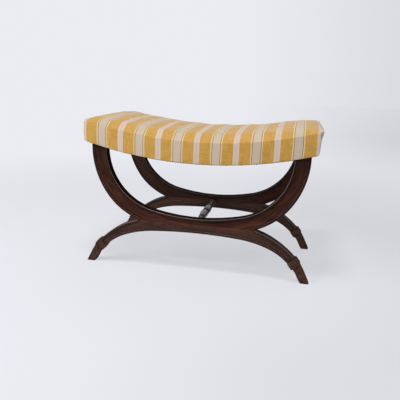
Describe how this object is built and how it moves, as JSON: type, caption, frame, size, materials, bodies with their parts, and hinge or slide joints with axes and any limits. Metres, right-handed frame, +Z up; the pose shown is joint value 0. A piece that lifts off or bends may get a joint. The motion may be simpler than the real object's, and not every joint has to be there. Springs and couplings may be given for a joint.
{
  "type": "x frame stool",
  "caption": "Low upholstered stool with a dished striped seat on two X shaped side frames with sabre feet, joined by one turned stretcher",
  "frame": {"origin": "on the floor, under the centre of the stool", "axes": "X along the stool's length, Y from its front (-Y) to its back, Z up from the floor"},
  "size_m": [0.772, 0.4264, 0.5085],
  "materials": {
    "frame_wood": "polished dark mahogany with a low sheen",
    "rail_wood": "plain sawn beech",
    "dowel_wood": "plain beech dowel",
    "steel": "blued steel tacks and plain screws",
    "webbing": "woven jute and cotton webbing",
    "hessian": "plain jute hessian",
    "stuffing": "curled hair stuffing",
    "wadding": "soft cotton wadding",
    "striped_cloth": "satin stripe in golden yellow, cream and grey cream",
    "dust_cloth": "thin black cotton lining"
  },
  "bodies": {
    "root": {"front_right_arm": "frame_wood", "front_right_leg": "frame_wood", "back_right_arm": "frame_wood", "back_right_leg": "frame_wood", "front_left_arm": "frame_wood", "front_left_leg": "frame_wood", "back_left_arm": "frame_wood", "back_left_leg": "frame_wood", "stretcher": "frame_wood", "frame_dowels": "dowel_wood", "arm_head_dowels": "dowel_wood", "back_seat_rail": "rail_wood", "front_seat_rail": "rail_wood", "right_seat_rail": "rail_wood", "left_seat_rail": "rail_wood", "seat_rail_dowels": "dowel_wood", "front_right_corner_block": "rail_wood", "back_right_corner_block": "rail_wood", "front_left_corner_block": "rail_wood", "back_left_corner_block": "rail_wood", "corner_block_screws": "steel", "cross_webbing": "webbing", "long_webbing": "webbing", "webbing_tacks": "steel", "hessian": "hessian", "stuffing_pad": "stuffing", "wadding": "wadding", "striped_cover": "striped_cloth", "cover_tacks": "steel", "dust_cover": "dust_cloth", "dust_cover_tacks": "steel"}
  },
  "joints": []
}
